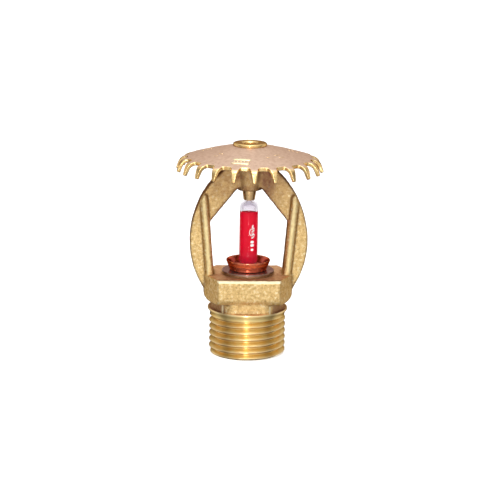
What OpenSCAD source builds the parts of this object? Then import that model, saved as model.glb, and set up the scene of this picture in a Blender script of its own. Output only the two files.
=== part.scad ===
// Upright fire sprinkler head: cast brass frame, glass bulb, sealing stack and slotted deflector.
// Origin: centre of the inlet face at the bottom of the thread. +Z runs up to the deflector.
// +X runs from one frame arm to the other, and +Y goes through the wrench flats.

/* [Thread] */
// Diameter over the thread crests, a half inch tapered pipe thread
thread_d = 21.3; // [20.6:0.1:21.6]
// Distance from one thread turn to the next, 14 turns to the inch
thread_pitch = 1.814; // [1.7:0.002:1.9]
// Number of full thread turns
thread_turns = 6; // [4:1:6]
// Diameter of the straight waterway
waterway_d = 12; // [10:0.5:13]
// Diameter of the shoulder ring above the thread
ring_d = 22.26; // [21.8:0.02:23]

/* [Wrench boss] */
// Height of the top of the wrench boss
boss_top = 22.6; // [22:0.1:23.2]
// Height of the underside of the wrench boss
boss_bottom = 15.4; // [15:0.1:16]
// Distance across the two wrench flats
flats = 19.6; // [18.6:0.1:20.4]
// Half length of each wrench flat
flat_half = 8.5; // [7.5:0.1:9.2]
// Half width of the boss under the frame arms
boss_half_w = 12.35; // [12:0.05:12.8]

/* [Frame arms] */
// Radius of the outer curve of each arm
arm_r = 26.7; // [26:0.1:28]
// Half width of the frame at its widest
arm_half_w = 16.34; // [15.8:0.02:17]
// Height of the widest place
arm_mid_z = 31.9; // [31:0.1:33]
// Thickness of the flat web of an arm
web_t = 4.8; // [3.6:0.1:5.6]
// Width of the stiffening rib on each arm
rib_w = 2.4; // [1.8:0.1:2.8]
// Depth over the two ribs, front to back
rib_depth = 7.2; // [6:0.1:8]
// Half width of the window at the boss
window_low_w = 9.85; // [9.4:0.05:10.2]
// Half width of the window where the sloping bars start
window_high_w = 10.8; // [10.4:0.05:11.2]
// Height where the sloping bars start
window_knee_z = 37.5; // [36:0.1:38.5]
// Height of the top corners of the window
window_top_z = 46.9; // [46.4:0.1:47.4]

/* [Apex] */
// Height of the underside of the apex boss
apex_bottom = 46.2; // [46:0.1:46.6]
// Height of the top of the apex boss, where the deflector sits
apex_top = 57.5; // [57:0.1:58]
// Diameter of the apex boss at its lower end
apex_low_d = 6.6; // [6.2:0.1:7.2]
// Diameter of the apex boss under the deflector
apex_high_d = 8.6; // [8:0.1:9.2]

/* [Deflector] */
// Number of teeth
teeth = 22; // [16:2:26]
// Sheet thickness
sheet_t = 1.05; // [0.9:0.05:1.2]
// Radius of the flat centre under the flange
defl_flat_r = 4.9; // [4.6:0.1:5.4]
// Radius of the bend between the plate and the teeth
defl_bend_at = 19.37; // [18.8:0.01:19.8]
// Slope of the plate below level, in degrees
plate_slope = 14.3; // [12:0.1:16]
// Slope of the teeth below level, in degrees
tooth_slope = 71; // [66:0.5:78]
// Length of the teeth from the bend
tooth_len = 3.35; // [2.8:0.05:3.6]
// Outer radius of the bend
bend_r = 2.6; // [1.6:0.1:3]
// Distance from the axis to the root of a slot
slot_root_r = 17.25; // [16.6:0.05:17.5]
// Width of a slot at its root
slot_root_w = 2.9; // [2.4:0.1:3.2]
// Radius of the two corners of that root
slot_corner_r = 0.7; // [0.5:0.05:1]
// Width of a slot at the bend
slot_bend_w = 3.7; // [3.2:0.1:3.9]
// Width of a tooth at its tip
tooth_tip_w = 0.95; // [0.8:0.05:1.4]
// Turn of the deflector on the frame, in degrees
defl_turn = 1.2; // [0:0.1:16]

/* [Bushing and screw] */
// Diameter of the flange that clamps the deflector
flange_d = 9.34; // [8.6:0.02:9.8]
// Thickness of that flange
flange_t = 0.85; // [0.7:0.05:1]
// Bore of the bushing, wide enough for the screw and its key
bushing_bore = 4.1; // [4.05:0.05:4.3]
// Outside diameter of the bushing shank
bushing_shank = 5.2; // [5:0.1:5.4]
// Diameter of the compression screw
screw_d = 3.9; // [3.8:0.05:3.95]
// Length of the compression screw above its nose
screw_len = 6.9; // [5:0.1:7.5]
// Height of the tip of the nose
nose_tip_z = 43.36; // [43.34:0.01:43.6]
// Diameter of the nose at its tip
nose_tip_d = 3.12; // [2.6:0.02:3.4]

/* [Bulb] */
// Outside diameter of the glass bulb
bulb_d = 5; // [4.8:0.1:5.2]
// Height of the top of the bulb
bulb_top = 43.2; // [42.8:0.05:43.2]
// Height of the bottom of the bulb
bulb_bottom = 24.25; // [24.2:0.05:24.6]
// Thickness of the glass
glass_t = 0.45; // [0.35:0.05:0.6]
// Height of the surface of the liquid
liquid_top = 40.1; // [36:0.05:40.5]

/* [Cap and seal] */
// Diameter over the flared lip of the cap
cap_lip_d = 12.2; // [11.6:0.1:12.6]
// Diameter of the cap at its foot
cap_foot_d = 10.2; // [9.4:0.1:10.4]
// Height of the lip of the cap
cap_lip_z = 26.53; // [26:0.01:26.6]
// Diameter of the disc spring
seal_d = 14.56; // [13.6:0.02:15]
// Thickness of the disc spring
seal_t = 0.4; // [0.3:0.05:0.5]
// Thickness of each film on the disc spring
film_t = 0.1; // [0.08:0.01:0.12]

/* [Hidden] */
$fn = 96;
eps = 0.01;
big = 80;

// Thread: a 60 degree form with flat crests and roots
thread_r = thread_d / 2;
flank_w = 0.75;
crest_w = 0.164;
thread_h = flank_w / tan(30);
root_r = thread_r - thread_h;
root_w = thread_pitch - 2 * flank_w - crest_w;
thread_z0 = 0.3;
thread_z1 = thread_z0 + thread_turns * thread_pitch;
inlet_chamfer = 0.46;
// Shoulder ring and neck
ring_r = ring_d / 2;
ring_z = 12.35;
ring_t = 0.5;
neck_r = 10.3;
neck_flats = 18.4;
neck_flat_half = 6.2;
neck_half_w = 11.1;
neck_z = 14.1;
// Wrench boss
flat_foot_z = 16.65;
flat_foot_in = 0.8;
side_cut = 1.75;
facet_x = 11.3;
facet_y = 4.4;
side_y = 2.2;
// Seat of the seal
seat_h = 0.35;
seat_w = 1;
// Ribs lean outwards along a straight line
rib_low_x = 10.74;
rib_high_x = 12.74;
rib_top_z = 45.2;
rib_lean = atan((rib_high_x - rib_low_x) / (rib_top_z - boss_top));
arm_centre_x = arm_r - arm_half_w;
arm_foot_z = 17.2;
// Screw hole: 0.05 mm of running clearance all round
screw_hole = screw_d + 0.1;
counterbore_z = apex_top - 3.4;
fit_gap = 0.05;
// Deflector
defl_top = apex_top + sheet_t;
slot_pitch = 360 / teeth;
slot_spread_r = slot_root_r + 1.5;
tip_r = defl_bend_at + tooth_len * cos(tooth_slope);
slot_tip_w = 2 * tip_r * sin(slot_pitch / 2) - tooth_tip_w;
bend_z = defl_top - (defl_bend_at - defl_flat_r) * tan(plate_slope);
bend_len = bend_r * tan((tooth_slope - plate_slope) / 2);
// Screw
nose_base_z = 46.1;
nose_base_d = screw_d - 0.04;
screw_top = nose_base_z + screw_len;
socket_af = 2;
socket_depth = 1.6;
// Bulb
bulb_r = bulb_d / 2;
pivot_z = bulb_bottom + bulb_r;
dome_r = 1.9;
liquid_gap = 0.02;
// Sealing stack, from the seat upwards
seal_z = boss_top + seat_h;
spring_z = seal_z + film_t;
upper_film_z = spring_z + seal_t;
cap_z = upper_film_z + film_t;
film_in = 0.12;
stem_r = 2.4;
stem_hole_r = 2.6;
stem_foot_r = 3.1;
stem_foot_z = 22.2;
stem_foot_t = 0.5;
cap_floor_t = 0.4;
cap_wall_t = 0.5;
cap_band_z = 24.5;
cap_band_r = 5.35;
insert_r = 3.3;
insert_t = 0.62;
seat_gap = 0.1;

brass_cast = [0.78, 0.62, 0.36];
brass_turned = [0.85, 0.64, 0.28];
bronze = [0.78, 0.6, 0.48];
copper = [0.62, 0.27, 0.17];

// Points on an arc in the plane of a turned profile
function arc(cx, cz, r, a0, a1, n) =
    [for (i = [0:n]) let(a = a0 + (a1 - a0) * i / n) [cx + r * cos(a), cz + r * sin(a)]];

// Outer edge of the thread, ring and neck, from the inlet upwards
function thread_edge() = concat(
    [[thread_r - inlet_chamfer, 0], [thread_r - inlet_chamfer + 0.2, thread_z0]],
    [for (i = [0:thread_turns - 1], p = thread_turn(thread_z0 + i * thread_pitch)) p],
    [[root_r, thread_z1 + root_w / 2], [ring_r, ring_z], [ring_r, ring_z + ring_t],
     [ring_r - 0.5, ring_z + ring_t + 0.55], [neck_flats / 2 + 0.3, neck_z]]);

// One turn of the thread, drawn as a ring
function thread_turn(z) = [
    [root_r, z + root_w / 2], [thread_r, z + root_w / 2 + flank_w],
    [thread_r, z + root_w / 2 + flank_w + crest_w],
    [root_r, z + root_w / 2 + 2 * flank_w + crest_w]];

// Turned lower end: threaded nipple and shoulder ring
module nipple() {
    rotate_extrude()
        polygon(concat([[0, 0]], thread_edge(), [[0, neck_z]]));
}

// Neck with short flats between the shoulder ring and the wrench boss
module neck() {
    intersection() {
        translate([0, 0, neck_z - 0.6])
            cylinder(r = neck_r, h = boss_bottom - neck_z + 0.7);
        translate([0, 0, neck_z - 1])
            linear_extrude(boss_bottom - neck_z + 2)
                polygon([[-neck_flat_half, -neck_flats / 2], [neck_flat_half, -neck_flats / 2],
                         [neck_half_w, 0], [neck_flat_half, neck_flats / 2],
                         [-neck_flat_half, neck_flats / 2], [-neck_half_w, 0]]);
    }
}

// Outline of the wrench boss from above: a long hexagon with softened side corners
module boss_outline() {
    half = [[flat_half, -flats / 2], [facet_x, -facet_y], [boss_half_w, -side_y]];
    right = concat(half, [for (i = [2:-1:0]) [half[i][0], -half[i][1]]]);
    polygon(concat(right, [for (i = [5:-1:0]) [-right[i][0], right[i][1]]]));
}

// Wrench boss with its flats undercut and its lower side corners cut off
module wrench_boss() {
    difference() {
        translate([0, 0, boss_bottom])
            linear_extrude(boss_top - boss_bottom) boss_outline();
        for (side = [-1, 1]) {
            translate([0, 0, boss_bottom])
                rotate([90, 0, 0])
                    linear_extrude(big, center = true)
                        polygon([[side * (boss_half_w - side_cut), -1],
                                 [side * (boss_half_w - side_cut), 0],
                                 [side * (boss_half_w + 1), side_cut + 1],
                                 [side * (boss_half_w + 1), -1]]);
            translate([0, 0, boss_bottom])
                rotate([90, 0, 90])
                    linear_extrude(big, center = true)
                        polygon([[side * (flats / 2 - flat_foot_in), -1],
                                 [side * (flats / 2 - flat_foot_in), 0],
                                 [side * flats / 2, flat_foot_z - boss_bottom],
                                 [side * (flats / 2 + 1), flat_foot_z - boss_bottom],
                                 [side * (flats / 2 + 1), -1]]);
        }
    }
}

// Solid bounded by the two outer curves of the arms
module arm_lens(depth) {
    intersection() {
        translate([-arm_centre_x, 0, arm_mid_z])
            rotate([90, 0, 0]) cylinder(r = arm_r, h = depth, center = true, $fn = 180);
        translate([arm_centre_x, 0, arm_mid_z])
            rotate([90, 0, 0]) cylinder(r = arm_r, h = depth, center = true, $fn = 180);
        translate([-big / 2, -depth / 2, arm_foot_z])
            cube([big, depth, big]);
    }
}

// Web of the two arms, with the window between them
module arm_web() {
    difference() {
        arm_lens(web_t);
        rotate([90, 0, 0])
            linear_extrude(big, center = true)
                polygon([[-window_low_w, boss_top - 1], [window_low_w, boss_top - 1],
                         [window_high_w, window_knee_z], [apex_low_d / 2 - 0.1, window_top_z],
                         [-apex_low_d / 2 + 0.1, window_top_z],
                         [-window_high_w, window_knee_z]]);
    }
}

// Round crested rib that runs up one arm
module rib(side) {
    crest_y = (rib_depth - rib_w) / 2;
    translate([side * rib_low_x, 0, boss_top - 0.2])
        rotate([0, side * rib_lean, 0])
            linear_extrude(rib_top_z - boss_top) {
                square([rib_w, 2 * crest_y], center = true);
                translate([0, crest_y]) circle(d = rib_w);
                translate([0, -crest_y]) circle(d = rib_w);
            }
}

// Cast and machined body in one piece
module frame() {
    color(brass_cast)
        difference() {
            union() {
                nipple();
                neck();
                wrench_boss();
                arm_web();
                intersection() {
                    union() {
                        rib(1);
                        rib(-1);
                    }
                    arm_lens(rib_depth + 1);
                }
                translate([0, 0, apex_bottom])
                    cylinder(d1 = apex_low_d, d2 = apex_high_d, h = apex_top - apex_bottom);
                translate([0, 0, boss_top - eps])
                    cylinder(r = waterway_d / 2 + seat_w, h = seat_h + eps);
            }
            translate([0, 0, -1])
                cylinder(d = waterway_d, h = seal_z + 2);
            translate([0, 0, -eps])
                cylinder(d1 = waterway_d + 1.6, d2 = waterway_d, h = 0.8);
            translate([0, 0, apex_bottom - 1])
                cylinder(d = screw_hole, h = apex_top - apex_bottom + 2);
            translate([0, 0, counterbore_z])
                cylinder(d = bushing_shank + 2 * fit_gap, h = apex_top);
        }
}

// Profile of the deflector sheet, offset inwards by t from its upper face
function sheet_line(t) = let(
    a = plate_slope,
    b = tooth_slope,
    p0 = [defl_bend_at - bend_len * cos(a), bend_z + bend_len * sin(a)],
    centre = [p0[0] - bend_r * sin(a), p0[1] - bend_r * cos(a)],
    p2 = [defl_bend_at + tooth_len * cos(b), bend_z - tooth_len * sin(b)])
    concat([[defl_flat_r - t * tan(a / 2), defl_top - t]],
           arc(centre[0], centre[1], bend_r - t, 90 - a, 90 - b, 6),
           [[p2[0] - t * sin(b), p2[1] - t * cos(b)]]);

// Cutter for one slot: flat root with round corners, spreading sides, and a wider gap between the bent teeth
module slot_cutter() {
    low = bend_z - tooth_len - 3;
    corner_y = slot_root_w / 2 - slot_corner_r;
    for (side = [-1, 1])
        translate([slot_root_r + slot_corner_r, side * corner_y, low])
            cylinder(r = slot_corner_r, h = tooth_len + 8, $fn = 32);
    translate([0, 0, low])
        linear_extrude(tooth_len + 8)
            polygon([[slot_root_r, -corner_y], [slot_root_r + slot_corner_r, -corner_y],
                     [slot_root_r + slot_corner_r, -slot_root_w / 2], [slot_spread_r, -slot_bend_w / 2],
                     [slot_spread_r, slot_bend_w / 2], [slot_root_r + slot_corner_r, slot_root_w / 2],
                     [slot_root_r + slot_corner_r, corner_y], [slot_root_r, corner_y]]);
    translate([slot_spread_r, 0, bend_z])
        rotate([90, 0, 90])
            linear_extrude(6)
                polygon([[-slot_bend_w / 2, 1.5], [-slot_bend_w / 2, -0.2],
                         [-slot_tip_w / 2, -tooth_len], [-slot_tip_w / 2, -tooth_len - 2],
                         [slot_tip_w / 2, -tooth_len - 2], [slot_tip_w / 2, -tooth_len],
                         [slot_bend_w / 2, -0.2], [slot_bend_w / 2, 1.5]]);
}

// Coned sheet with its slotted edge bent down
module deflector() {
    lower = sheet_line(sheet_t);
    color(bronze)
        rotate([0, 0, defl_turn - 90])
            difference() {
                rotate_extrude()
                    polygon(concat([[bushing_shank / 2 + fit_gap, defl_top]], sheet_line(0),
                                   [for (i = [len(lower) - 1:-1:0]) lower[i]],
                                   [[bushing_shank / 2 + fit_gap, defl_top - sheet_t]]));
                for (i = [0:teeth - 1])
                    rotate([0, 0, (i + 0.5) * slot_pitch]) slot_cutter();
            }
}

// Flanged bushing that clamps the deflector on the apex
module deflector_bushing() {
    color(brass_turned)
        difference() {
            rotate_extrude()
                polygon([[0, counterbore_z + fit_gap], [bushing_shank / 2, counterbore_z + fit_gap],
                         [bushing_shank / 2, defl_top], [flange_d / 2 - 0.1, defl_top],
                         [flange_d / 2, defl_top + 0.15],
                         [flange_d / 2, defl_top + flange_t - 0.2],
                         [flange_d / 2 - 0.25, defl_top + flange_t], [0, defl_top + flange_t]]);
            translate([0, 0, counterbore_z - 1])
                cylinder(d = bushing_bore, h = 12);
            translate([0, 0, defl_top + flange_t - 0.3])
                cylinder(d1 = bushing_bore, d2 = bushing_bore + 0.8, h = 0.4);
        }
}

// Compression screw: its nose bears on the bulb, and its socket faces up
module compression_screw() {
    color(brass_turned)
        difference() {
            rotate_extrude()
                polygon([[0, nose_tip_z], [nose_tip_d / 2, nose_tip_z],
                         [nose_base_d / 2, nose_base_z], [screw_d / 2, nose_base_z + 0.4],
                         [screw_d / 2, screw_top - 0.3], [screw_d / 2 - 0.3, screw_top],
                         [0, screw_top]]);
            translate([0, 0, screw_top - socket_depth])
                cylinder(d = socket_af / cos(30), h = socket_depth + 1, $fn = 6);
        }
}

// Half outline of the bulb at a distance t inside its outer face
function bulb_line(t) = concat(
    [[0, bulb_bottom + t]],
    arc(0, pivot_z, bulb_r - t, -78, 0, 10),
    arc(bulb_r - dome_r, bulb_top - dome_r, dome_r - t, 0, 90, 10),
    [[0, bulb_top - t]]);

// Closed glass bulb
module bulb_glass() {
    color([0.9, 0.93, 0.95, 0.4])
        difference() {
            rotate_extrude() polygon(bulb_line(0));
            rotate_extrude() polygon(bulb_line(glass_t));
        }
}

// Liquid that fills the bulb up to its bubble
module bulb_liquid() {
    color([0.85, 0.08, 0.12])
        intersection() {
            rotate_extrude() polygon(bulb_line(glass_t + liquid_gap));
            translate([0, 0, bulb_bottom])
                cylinder(r = bulb_d, h = liquid_top - bulb_bottom);
        }
}

// Copper cap: flared lip, straight band and a floor with a hole for the insert
module pip_cap() {
    lip = cap_lip_d / 2;
    foot = cap_foot_d / 2;
    color(copper)
        rotate_extrude()
            polygon([[stem_hole_r, cap_z], [foot - 0.3, cap_z], [foot, cap_z + 0.3],
                     [cap_band_r, cap_band_z], [cap_band_r + 0.12, cap_band_z + 0.12],
                     [lip - 0.2, cap_lip_z - 0.95], [lip, cap_lip_z - 0.3],
                     [lip, cap_lip_z - 0.1], [lip - 0.1, cap_lip_z],
                     [lip - 0.35, cap_lip_z], [lip - cap_wall_t - 0.1, cap_lip_z - 0.3],
                     [cap_band_r - cap_wall_t, cap_band_z],
                     [foot - cap_wall_t - 0.3, cap_z + cap_floor_t + 0.2],
                     [foot - cap_wall_t - 0.6, cap_z + cap_floor_t],
                     [stem_hole_r, cap_z + cap_floor_t]]);
}

// Steel insert: a disc with a ball seat for the bulb, and a stem that holds the stack together
module pip_insert() {
    top = cap_z + cap_floor_t;
    color("silver")
        difference() {
            rotate_extrude()
                polygon([[0, stem_foot_z], [stem_foot_r - 0.2, stem_foot_z],
                         [stem_foot_r, stem_foot_z + 0.2], [stem_foot_r, stem_foot_z + stem_foot_t],
                         [stem_r, stem_foot_z + stem_foot_t], [stem_r, top], [insert_r, top],
                         [insert_r, top + insert_t - 0.15], [insert_r - 0.15, top + insert_t],
                         [0, top + insert_t]]);
            translate([0, 0, pivot_z]) sphere(r = bulb_r + seat_gap);
        }
}

// Flat ring of the sealing stack
module stack_ring(z, t, r) {
    translate([0, 0, z])
        difference() {
            cylinder(r = r, h = t);
            translate([0, 0, -1]) cylinder(r = stem_hole_r, h = t + 2);
        }
}

// Disc spring, pressed nearly flat by the screw
module seal_spring() {
    color([0.62, 0.62, 0.66])
        stack_ring(spring_z, seal_t, seal_d / 2);
}

// Slippery film on top of the spring
module seal_film_upper() {
    color([0.75, 0.72, 0.72])
        stack_ring(upper_film_z, film_t, seal_d / 2 - film_in);
}

// Slippery film between the spring and its seat
module seal_film_lower() {
    color([0.75, 0.72, 0.72])
        stack_ring(seal_z, film_t, seal_d / 2 - film_in);
}

frame();
deflector();
deflector_bushing();
compression_screw();
bulb_glass();
bulb_liquid();
pip_cap();
pip_insert();
seal_spring();
seal_film_upper();
seal_film_lower();
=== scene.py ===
"""Looks of an upright fire sprinkler head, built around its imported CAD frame.

Shapes are worked out in millimetres in the frame's own axes and turned into metres as each mesh is made.
"""
import math

import bmesh
import bpy
import numpy as np
from mathutils import Matrix, Vector


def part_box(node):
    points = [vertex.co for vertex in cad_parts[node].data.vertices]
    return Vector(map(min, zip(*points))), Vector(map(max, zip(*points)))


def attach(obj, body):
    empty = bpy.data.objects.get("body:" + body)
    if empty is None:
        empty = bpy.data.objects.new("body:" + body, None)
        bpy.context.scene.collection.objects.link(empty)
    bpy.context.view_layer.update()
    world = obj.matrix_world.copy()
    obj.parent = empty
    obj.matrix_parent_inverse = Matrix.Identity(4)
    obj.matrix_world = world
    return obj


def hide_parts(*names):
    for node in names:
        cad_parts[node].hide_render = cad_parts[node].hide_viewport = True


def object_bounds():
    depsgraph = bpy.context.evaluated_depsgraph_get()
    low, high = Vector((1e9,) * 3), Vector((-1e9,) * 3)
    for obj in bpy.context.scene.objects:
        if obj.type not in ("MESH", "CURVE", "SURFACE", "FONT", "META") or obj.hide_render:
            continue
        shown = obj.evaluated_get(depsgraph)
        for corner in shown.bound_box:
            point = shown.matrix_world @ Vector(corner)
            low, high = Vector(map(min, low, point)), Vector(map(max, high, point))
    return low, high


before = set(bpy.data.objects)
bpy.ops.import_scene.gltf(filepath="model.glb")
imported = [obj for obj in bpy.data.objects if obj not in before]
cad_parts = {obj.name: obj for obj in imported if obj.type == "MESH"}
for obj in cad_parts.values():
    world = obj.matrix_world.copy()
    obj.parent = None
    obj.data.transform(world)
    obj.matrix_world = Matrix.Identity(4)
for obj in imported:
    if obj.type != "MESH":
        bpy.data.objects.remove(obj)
cad_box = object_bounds()

MM = 0.001


def span(node):
    """Lowest and highest corner of a CAD node in millimetres."""
    lo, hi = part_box(node)
    return np.array(lo) / MM, np.array(hi) / MM


# ---------------------------------------------------------------- sizes, in millimetres
FRAME_HI = span("frame")[1]
DEFL_LO, DEFL_HI = span("deflector")
BUSH_LO, BUSH_HI = span("deflector_bushing")
SCREW_LO, SCREW_HI = span("compression_screw")
BULB_LO, BULB_HI = span("bulb_glass")
LIQUID_HI = span("bulb_liquid")[1]
CAP_LO, CAP_HI = span("pip_cap")
INSERT_LO, INSERT_HI = span("pip_insert")
SPRING_LO, SPRING_HI = span("seal_spring")
FILM_LO, FILM_HI = span("seal_film_upper")
SEAT_FILM_LO, SEAT_FILM_HI = span("seal_film_lower")

# Casting
ARM_HALF_W = FRAME_HI[0]
ARM_MID_Z = 31.9
ARM_R = 26.7
ARM_LOW_R = 24.2
ARM_FOOT_Z = 17.2
WEB_HALF_T = 2.4
SEAT_Z = SEAT_FILM_LO[2]
BOSS_TOP = SEAT_Z - 0.35
BOSS_BOTTOM = BOSS_TOP - 7.2
BOSS_OUTLINE = [(8.5, 9.8), (11.3, 4.4), (12.35, 2.2)]
FLAT_Y = BOSS_OUTLINE[0][1]
NECK_BOTTOM = 12.98
APEX_TOP = FRAME_HI[2]
APEX_BOTTOM = 46.2
BORE_R = 6.0
# Stack on the seat: hole through its rings
STACK_HOLE_R = 2.6
# Compression screw
NOSE_BASE_Z = 46.1
# Bulb
BULB_WALL = 0.45
BULB_DOME_R = 1.9
BULB_SWELL = 0.06
# Thread and shoulder ring
CREST_R = 10.65
ROOT_R = 9.351
PITCH = 1.814
CREST_W = 0.164
FLANK_W = 0.75
ROOT_W = PITCH - CREST_W - 2 * FLANK_W
THREAD_TOP = 11.05
RING_R = FRAME_HI[1]
RING_Z = 12.35
# Deflector
TEETH = 22
SHEET_T = 1.05
DEFL_TOP = DEFL_HI[2]
DEFL_FLAT_R = 4.9
DEFL_BEND_AT = 19.37
PLATE_SLOPE = math.radians(14.3)
TOOTH_SLOPE = math.radians(71)
TOOTH_LEN = 3.35
BEND_R = 2.6
DEFL_TURN = math.radians(1.2 - 90)
SLOT_ROOT_R = 17.25
SLOT_ROOT_W = 2.9
SLOT_CORNER_R = 0.7


# ---------------------------------------------------------------- meshes
def mesh_object(name, verts, faces, smooth_deg=None):
    """An object made of points in millimetres."""
    mesh = bpy.data.meshes.new(name)
    mesh.from_pydata((np.asarray(verts, float) * MM).tolist(), [], [list(map(int, f)) for f in faces])
    mesh.update()
    obj = bpy.data.objects.new(name, mesh)
    bpy.context.scene.collection.objects.link(obj)
    for p in mesh.polygons:
        p.use_smooth = True
    if smooth_deg is not None:
        mesh.set_sharp_from_angle(angle=math.radians(smooth_deg))
    return obj


def soften(points, radius, steps=3):
    """The closed outline with each corner rounded off."""
    pts = [np.array(p, float) for p in points]
    out = []
    for i, p in enumerate(pts):
        a, b = pts[i - 1], pts[(i + 1) % len(pts)]
        r = [radius, 0][bool(p[0] == 0)]
        da, db = np.linalg.norm(a - p), np.linalg.norm(b - p)
        cut = min(r, 0.42 * da, 0.42 * db)
        if cut <= 0:
            out.append(p)
            continue
        s, e = p + (a - p) / da * cut, p + (b - p) / db * cut
        for k in range(steps + 1):
            t = k / steps
            out.append((1 - t) ** 2 * s + 2 * t * (1 - t) * p + t * t * e)
    return out


def turned(name, outline, segments=128, smooth_deg=40):
    """A solid of revolution from a closed outline of (radius, height), with the solid on its left."""
    n = len(outline)
    angles = np.arange(segments) * 2 * math.pi / segments
    verts, ring = [], []
    for r, z in outline:
        if r < 1e-9:
            ring.append([len(verts)] * segments)
            verts.append((0, 0, z))
        else:
            ring.append(list(range(len(verts), len(verts) + segments)))
            verts += [(r * math.cos(a), r * math.sin(a), z) for a in angles]
    faces = []
    for i in range(n):
        lower, upper = ring[i], ring[(i + 1) % n]
        if lower[0] == lower[-1] and upper[0] == upper[-1]:
            continue
        for j in range(segments):
            k = (j + 1) % segments
            quad = [lower[j], lower[k], upper[k], upper[j]]
            faces.append([v for m, v in enumerate(quad) if v not in quad[:m]])
    return mesh_object(name, verts, faces, smooth_deg)


def grid(lo, hi, step):
    """The lowest corner and the three coordinates of a box of sample points."""
    axes = [np.arange(a, b + step, step, dtype=np.float32) for a, b in zip(lo, hi)]
    return np.array([a[0] for a in axes]), np.meshgrid(*axes, indexing="ij", sparse=True)


def surface_net(field, origin, step):
    """Points and quads of the surface where the field is zero. The field is negative inside the solid."""
    inside = field < 0
    size = np.array(field.shape) - 1
    corners = [(i, j, k) for i in (0, 1) for j in (0, 1) for k in (0, 1)]
    count = np.zeros(size, np.int8)
    for i, j, k in corners:
        count += inside[i:i + size[0], j:j + size[1], k:k + size[2]]
    cells = np.argwhere((count > 0) & (count < 8))
    values = [field[tuple((cells + c).T)].astype(float) for c in corners]
    total, hits = np.zeros((len(cells), 3)), np.zeros(len(cells))
    for a in range(8):
        for b in range(a + 1, 8):
            way = np.array(corners[b]) - np.array(corners[a])
            if np.abs(way).sum() != 1:
                continue
            cut = (values[a] < 0) != (values[b] < 0)
            t = values[a] / np.where(cut, values[a] - values[b], 1)
            total += cut[:, None] * (np.array(corners[a]) + t[:, None] * way)
            hits += cut
    points = (cells + total / hits[:, None]) * step + origin
    index = np.full(size, -1, np.int64)
    index[tuple(cells.T)] = np.arange(len(cells))
    quads = []
    for axis in range(3):
        u, v = (axis + 1) % 3, (axis + 2) % 3
        first = np.take(inside, range(0, size[axis]), axis)
        change = first != np.take(inside, range(1, size[axis] + 1), axis)
        at = np.argwhere(change)
        at = at[(at[:, u] > 0) & (at[:, v] > 0) & (at[:, u] < size[u]) & (at[:, v] < size[v])]
        eu, ev = np.eye(3, dtype=int)[u], np.eye(3, dtype=int)[v]
        four = [index[tuple((at - d).T)] for d in (eu + ev, ev, 0 * eu, eu)]
        outwards = first[tuple(at.T)]
        quad = np.stack(four, 1)
        quads.append(np.where(outwards[:, None], quad, quad[:, ::-1]))
    return points, np.concatenate(quads)


# ---------------------------------------------------------------- distance fields
def union(a, b, k):
    """Union of two solids with a fillet of about k between them."""
    h = np.clip(0.5 + 0.5 * (b - a) / k, 0, 1)
    return b + (a - b) * h - k * h * (1 - h)


def common(a, b, k):
    """Common part of two solids, its edge rounded by about k."""
    return -union(-a, -b, k)


def convex(outline, a, b, k=0):
    """Distance to a convex outline that runs anticlockwise in the plane of a and b."""
    d = None
    for (pa, pb), (qa, qb) in zip(outline, outline[1:] + outline[:1]):
        n = math.hypot(qa - pa, qb - pb)
        side = ((a - pa) * (qb - pb) - (b - pb) * (qa - pa)) / n
        d = side if d is None else common(d, side, k) if k else np.maximum(d, side)
    return d


def lumps(shape, step, cell, seed):
    """Smooth random bumps of about one cell across, from -1 to 1, over a box of samples."""
    rng = np.random.default_rng(seed)
    pos = [np.arange(n) * step / cell for n in shape]
    out = rng.uniform(-1, 1, [int(p[-1]) + 2 for p in pos]).astype(np.float32)
    for axis, p in enumerate(pos):
        i = p.astype(int)
        t = p - i
        t = (t * t * (3 - 2 * t)).astype(np.float32)
        t = t.reshape([-1 if d == axis else 1 for d in range(3)])
        out = np.take(out, i, axis) * (1 - t) + np.take(out, i + 1, axis) * t
    return out


# ---------------------------------------------------------------- frame
def boss_outline():
    """The wrench boss from above, anticlockwise."""
    right = [(x, -y) for x, y in BOSS_OUTLINE] + BOSS_OUTLINE[::-1]
    return right + [(-x, -y) for x, y in right]


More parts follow.
